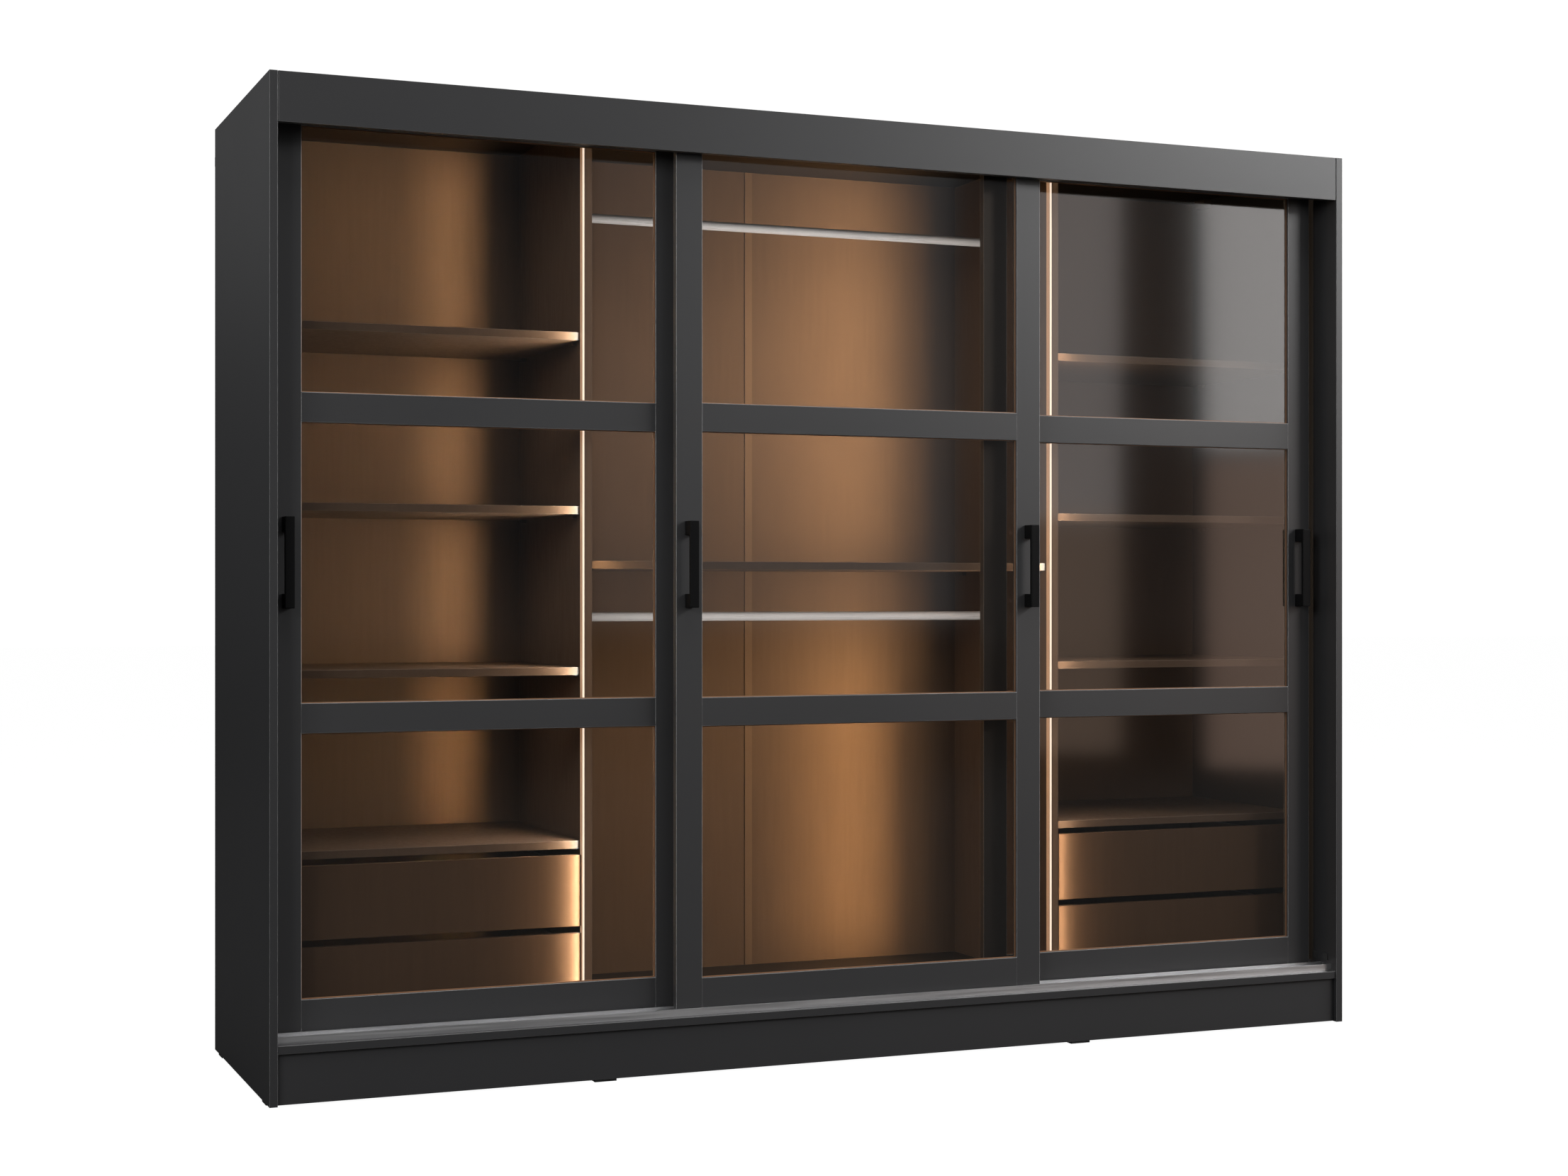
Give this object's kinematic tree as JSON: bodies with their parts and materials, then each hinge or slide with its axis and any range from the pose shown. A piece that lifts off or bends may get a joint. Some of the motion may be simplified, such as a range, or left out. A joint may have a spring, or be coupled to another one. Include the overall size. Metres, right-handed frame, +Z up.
{
  "type": "sliding door wardrobe",
  "caption": "Wide wardrobe with framed tinted glass doors that slide on tracks, side-lit shelves, hanging rails and drawers behind them.",
  "frame": {"origin": "on the floor under the middle of the wardrobe", "axes": "+X along the front to the right hand of a person facing it, +Y from the front to the back, +Z up"},
  "size_m": [2.5, 0.604, 2.004],
  "materials": {
    "outer_board": "matt graphite laminate",
    "inner_board": "matt dark brown laminate",
    "drawer_front": "matt dark brown laminate",
    "drawer_box": "matt laminate",
    "door_frame": "satin graphite anodised",
    "tinted_glass": "bronze tinted",
    "seal": "soft",
    "handle": "satin black",
    "screw": "zinc plated",
    "carriage": "zinc plated",
    "guide": "smooth",
    "wheel": "smooth nylon",
    "joint_strip": "smooth",
    "foot": "smooth",
    "block": "smooth",
    "rail": "satin",
    "socket": "smooth",
    "led_profile": "satin",
    "led_diffuser": "milky diffuser",
    "driver": "smooth",
    "bracket": "satin black",
    "track": "bright dark anodised",
    "buffer": "soft",
    "runner": "zinc plated"
  },
  "bodies": {
    "carcass": {"back_joint_strip": "joint_strip", "back_panels": "inner_board", "bottom_panel": "outer_board", "bottom_track": "track", "corner_blocks": "block", "drawer_runners": "runner", "fascia_board": "outer_board", "feet": "foot", "hanging_rails": "rail", "led_diffusers": "led_diffuser", "led_driver": "driver", "led_profiles": "led_profile", "partitions": "inner_board", "plinth_boards": "outer_board", "rail_sockets": "socket", "shelf_centre": "inner_board", "shelf_supports": "block", "shelves_left": "inner_board", "shelves_right": "inner_board", "side_panel_left": "outer_board", "side_panel_right": "outer_board", "top_panel": "outer_board", "top_track": "track", "track_buffers": "buffer", "wall_brackets": "bracket"},
    "door_left": {"door_left_carriages": "carriage", "door_left_frame": "door_frame", "door_left_glass": "tinted_glass", "door_left_guides": "guide", "door_left_handles": "handle", "door_left_screws": "screw", "door_left_seals": "seal"},
    "door_left_wheel_left_body": {"door_left_wheel_left": "wheel"},
    "door_left_wheel_right_body": {"door_left_wheel_right": "wheel"},
    "door_centre": {"door_centre_carriages": "carriage", "door_centre_frame": "door_frame", "door_centre_glass": "tinted_glass", "door_centre_guides": "guide", "door_centre_handles": "handle", "door_centre_screws": "screw", "door_centre_seals": "seal"},
    "door_centre_wheel_left_body": {"door_centre_wheel_left": "wheel"},
    "door_centre_wheel_right_body": {"door_centre_wheel_right": "wheel"},
    "door_right": {"door_right_carriages": "carriage", "door_right_frame": "door_frame", "door_right_glass": "tinted_glass", "door_right_guides": "guide", "door_right_handles": "handle", "door_right_screws": "screw", "door_right_seals": "seal"},
    "door_right_wheel_left_body": {"door_right_wheel_left": "wheel"},
    "door_right_wheel_right_body": {"door_right_wheel_right": "wheel"},
    "drawer_left_lower": {"drawer_left_lower_front": "drawer_front", "drawer_left_lower_box": "drawer_box"},
    "drawer_left_upper": {"drawer_left_upper_front": "drawer_front", "drawer_left_upper_box": "drawer_box"},
    "drawer_right_lower": {"drawer_right_lower_front": "drawer_front", "drawer_right_lower_box": "drawer_box"},
    "drawer_right_upper": {"drawer_right_upper_front": "drawer_front", "drawer_right_upper_box": "drawer_box"}
  },
  "joints": [
    {"name": "door_left_slide", "type": "slide", "parent": "carcass", "child": "door_left", "axis": [1, 0, 0], "range_m": [0, 0.7]},
    {"name": "door_left_wheel_left_spin", "type": "hinge", "parent": "door_left", "child": "door_left_wheel_left_body", "pos_m": [-1.111, -0.222, 0.1375], "axis": [0, 1, 0], "range_deg": [-30, 4260]},
    {"name": "door_left_wheel_right_spin", "type": "hinge", "parent": "door_left", "child": "door_left_wheel_right_body", "pos_m": [-0.489, -0.222, 0.1375], "axis": [0, 1, 0], "range_deg": [-30, 4260]},
    {"name": "door_centre_slide", "type": "slide", "parent": "carcass", "child": "door_centre", "axis": [1, 0, 0], "range_m": [-0.785, 0.695]},
    {"name": "door_centre_wheel_left_spin", "type": "hinge", "parent": "door_centre", "child": "door_centre_wheel_left_body", "pos_m": [-0.2765, -0.262, 0.1375], "axis": [0, 1, 0], "range_deg": [-4760, 4230]},
    {"name": "door_centre_wheel_right_spin", "type": "hinge", "parent": "door_centre", "child": "door_centre_wheel_right_body", "pos_m": [0.3455, -0.262, 0.1375], "axis": [0, 1, 0], "range_deg": [-4760, 4230]},
    {"name": "door_right_slide", "type": "slide", "parent": "carcass", "child": "door_right", "axis": [1, 0, 0], "range_m": [-0.69, 0.021]},
    {"name": "door_right_wheel_left_spin", "type": "hinge", "parent": "door_right", "child": "door_right_wheel_left_body", "pos_m": [0.4675, -0.222, 0.1375], "axis": [0, 1, 0], "range_deg": [-4190, 160]},
    {"name": "door_right_wheel_right_spin", "type": "hinge", "parent": "door_right", "child": "door_right_wheel_right_body", "pos_m": [1.0895, -0.222, 0.1375], "axis": [0, 1, 0], "range_deg": [-4190, 160]},
    {"name": "drawer_left_lower_slide", "type": "slide", "parent": "carcass", "child": "drawer_left_lower", "axis": [0, -1, 0], "range_m": [0, 0.034]},
    {"name": "drawer_left_upper_slide", "type": "slide", "parent": "carcass", "child": "drawer_left_upper", "axis": [0, -1, 0], "range_m": [0, 0.034]},
    {"name": "drawer_right_lower_slide", "type": "slide", "parent": "carcass", "child": "drawer_right_lower", "axis": [0, -1, 0], "range_m": [0, 0.034]},
    {"name": "drawer_right_upper_slide", "type": "slide", "parent": "carcass", "child": "drawer_right_upper", "axis": [0, -1, 0], "range_m": [0, 0.034]}
  ],
  "couplings": [
    {"joint": "door_left_wheel_left_spin", "follows": "door_left_slide", "rad_per_m": 105.26},
    {"joint": "door_left_wheel_right_spin", "follows": "door_left_slide", "rad_per_m": 105.26},
    {"joint": "door_centre_wheel_left_spin", "follows": "door_centre_slide", "rad_per_m": 105.26},
    {"joint": "door_centre_wheel_right_spin", "follows": "door_centre_slide", "rad_per_m": 105.26},
    {"joint": "door_right_wheel_left_spin", "follows": "door_right_slide", "rad_per_m": 105.26},
    {"joint": "door_right_wheel_right_spin", "follows": "door_right_slide", "rad_per_m": 105.26}
  ]
}
